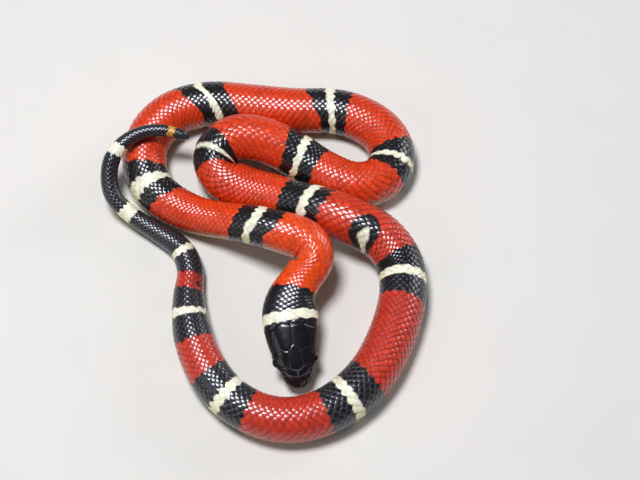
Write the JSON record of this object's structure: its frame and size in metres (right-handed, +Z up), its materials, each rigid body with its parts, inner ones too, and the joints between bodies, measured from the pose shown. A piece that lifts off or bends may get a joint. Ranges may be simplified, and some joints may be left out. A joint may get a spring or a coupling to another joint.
{
  "type": "milk snake",
  "caption": "Young milk snake at life size, red with pale rings edged in black, lying in loose loops with its head in the middle and its tail climbing over its side",
  "frame": {"origin": "middle of the base of the box round the whole snake, on the floor it lies on", "axes": "+Z up; the snout points to -Y, towards the viewer of the picture; +X is to that viewer's right"},
  "size_m": [0.0716, 0.086, 0.016],
  "materials": {
    "red_skin": "smooth scales with a satin gloss, ringed in black and pale yellow",
    "black_skin": "smooth glossy scales",
    "eye": "wet gloss"
  },
  "bodies": {
    "root": {"head": "black_skin", "eye_left": "eye", "eye_right": "eye", "neck": "red_skin", "body_1": "red_skin", "body_2": "red_skin", "body_3": "red_skin", "body_4": "red_skin", "body_5": "red_skin", "body_6": "red_skin", "body_7": "red_skin", "body_8": "red_skin", "body_9": "red_skin", "body_10": "red_skin", "body_11": "red_skin", "body_12": "red_skin", "body_13": "red_skin", "body_14": "red_skin", "tail_1": "black_skin", "tail_2": "black_skin", "tail_3": "black_skin", "tail_4": "black_skin"}
  },
  "joints": []
}
